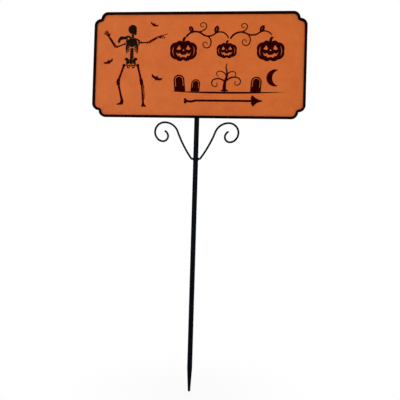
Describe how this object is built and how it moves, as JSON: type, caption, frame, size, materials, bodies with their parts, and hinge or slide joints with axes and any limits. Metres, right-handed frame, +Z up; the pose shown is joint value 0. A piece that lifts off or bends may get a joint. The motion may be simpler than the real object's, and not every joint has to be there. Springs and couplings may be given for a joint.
{
  "type": "halloween yard stake sign",
  "caption": "Flat steel garden sign with notched corners and a raised skeleton figure, bats and arrow, on a round tube stake with two scrolls; it turns on the stake and lifts off.",
  "frame": {"origin": "on the axis of the stake, at the level of the ground that it is pushed into, 200 mm above the tip", "axes": "+Z up along the stake, the sign's front faces -Y, +X to the right as seen from the front"},
  "size_m": [0.508, 0.0199, 0.9004],
  "materials": {
    "orange_enamel": "satin orange enamel on sheet steel",
    "black_enamel": "satin brown-black enamel",
    "black_powder_coat": "satin black powder coat",
    "plated_steel": "zinc plated",
    "black_plastic": "moulded, matt"
  },
  "bodies": {
    "stake": {"ground_stake": "black_powder_coat"},
    "coupler": {"stake_coupler": "black_powder_coat"},
    "sign": {"bare_tree": "black_enamel", "bat_left": "black_enamel", "bat_right": "black_enamel", "bat_top": "black_enamel", "bone_arrow": "black_enamel", "clip_nuts": "plated_steel", "clip_studs": "plated_steel", "clip_washers": "plated_steel", "crescent_moon": "black_enamel", "figure_left_arm": "black_enamel", "figure_left_leg": "black_enamel", "figure_pelvis": "black_enamel", "figure_ribcage": "black_enamel", "figure_right_arm": "black_enamel", "figure_right_leg": "black_enamel", "figure_skull": "black_enamel", "figure_spine": "black_enamel", "gravestones": "black_enamel", "hill_line": "black_enamel", "lower_clip": "black_powder_coat", "panel_rim": "black_powder_coat", "pumpkin_vine": "black_enamel", "pumpkins": "black_enamel", "scroll_left": "black_powder_coat", "scroll_right": "black_powder_coat", "scroll_welds": "black_powder_coat", "sign_panel": "orange_enamel", "tube_cap": "black_plastic", "upper_clip": "black_powder_coat", "upper_tube": "black_powder_coat"}
  },
  "joints": [
    {"name": "stake_swivel", "type": "hinge", "parent": "stake", "child": "coupler", "pos_m": [0, 0, 0.34], "axis": [0, 0, 1], "continuous": true},
    {"name": "sign_lift", "type": "slide", "parent": "coupler", "child": "sign", "axis": [0, 0, 1], "range_m": [0, 0.065]}
  ]
}
